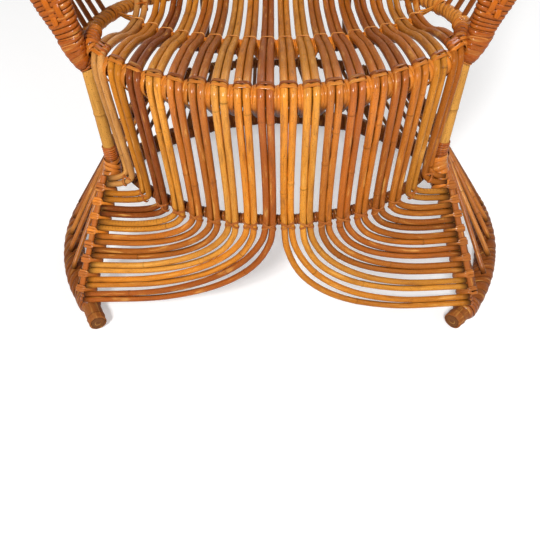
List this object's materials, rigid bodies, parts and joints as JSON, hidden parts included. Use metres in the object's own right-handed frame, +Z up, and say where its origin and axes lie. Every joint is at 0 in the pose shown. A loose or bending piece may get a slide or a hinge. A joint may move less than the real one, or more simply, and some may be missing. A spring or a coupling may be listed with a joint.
{
  "type": "peacock chair",
  "caption": "Rattan armchair on a flared round base, with paired bent canes over a dished seat, wrapped arms and a tall fan back.",
  "frame": {"origin": "on the floor, under the middle of the bounding box", "axes": "+Z up, -Y towards the front of the chair, +X to the right as seen from the front; left and right in node names are as seen from the front"},
  "size_m": [1.0694, 0.8274, 1.4097],
  "materials": {
    "rattan_cane": "varnished, glossy, colour varies from cane to cane",
    "rattan_pole": "varnished, satin",
    "peel_wrapped_pole": "glossy peel wound round a pole",
    "dark_peel_wrap": "glossy dark peel",
    "light_peel": "glossy light peel"
  },
  "bodies": {
    "root": {"floor_ring": "rattan_pole", "floor_ring_wrapping": "dark_peel_wrap", "seat_hoop": "peel_wrapped_pole", "front_post_left": "rattan_pole", "waist_binding_left": "peel_wrapped_pole", "front_post_right": "rattan_pole", "waist_binding_right": "peel_wrapped_pole", "front_rim": "peel_wrapped_pole", "waist_bar": "peel_wrapped_pole", "cane_left_1a": "rattan_cane", "cane_left_1b": "rattan_cane", "cane_left_2a": "rattan_cane", "cane_left_2b": "rattan_cane", "cane_left_3a": "rattan_cane", "cane_left_3b": "rattan_cane", "cane_left_4a": "rattan_cane", "cane_left_4b": "rattan_cane", "cane_left_5a": "rattan_cane", "cane_left_5b": "rattan_cane", "cane_left_6a": "rattan_cane", "cane_left_6b": "rattan_cane", "cane_left_7a": "rattan_cane", "cane_left_7b": "rattan_cane", "cane_left_8a": "rattan_cane", "cane_left_8b": "rattan_cane", "cane_left_9a": "rattan_cane", "cane_left_9b": "rattan_cane", "cane_right_1a": "rattan_cane", "cane_right_1b": "rattan_cane", "cane_right_2a": "rattan_cane", "cane_right_2b": "rattan_cane", "cane_right_3a": "rattan_cane", "cane_right_3b": "rattan_cane", "cane_right_4a": "rattan_cane", "cane_right_4b": "rattan_cane", "cane_right_5a": "rattan_cane", "cane_right_5b": "rattan_cane", "cane_right_6a": "rattan_cane", "cane_right_6b": "rattan_cane", "cane_right_7a": "rattan_cane", "cane_right_7b": "rattan_cane", "cane_right_8a": "rattan_cane", "cane_right_8b": "rattan_cane", "cane_right_9a": "rattan_cane", "cane_right_9b": "rattan_cane", "seat_cross_pole": "peel_wrapped_pole", "seat_weave_strip": "light_peel", "leg_strip_left": "light_peel", "leg_strip_right": "light_peel", "waist_hoop_right_front": "peel_wrapped_pole", "waist_hoop_right_rear": "peel_wrapped_pole", "waist_hoop_left_rear": "peel_wrapped_pole", "waist_hoop_left_front": "peel_wrapped_pole", "back_rim": "peel_wrapped_pole", "back_hoop_lower": "peel_wrapped_pole", "back_hoop_upper": "peel_wrapped_pole", "back_post_left": "rattan_pole", "back_post_right": "rattan_pole", "arm_band_left": "peel_wrapped_pole", "arm_band_right": "peel_wrapped_pole"}
  },
  "joints": []
}
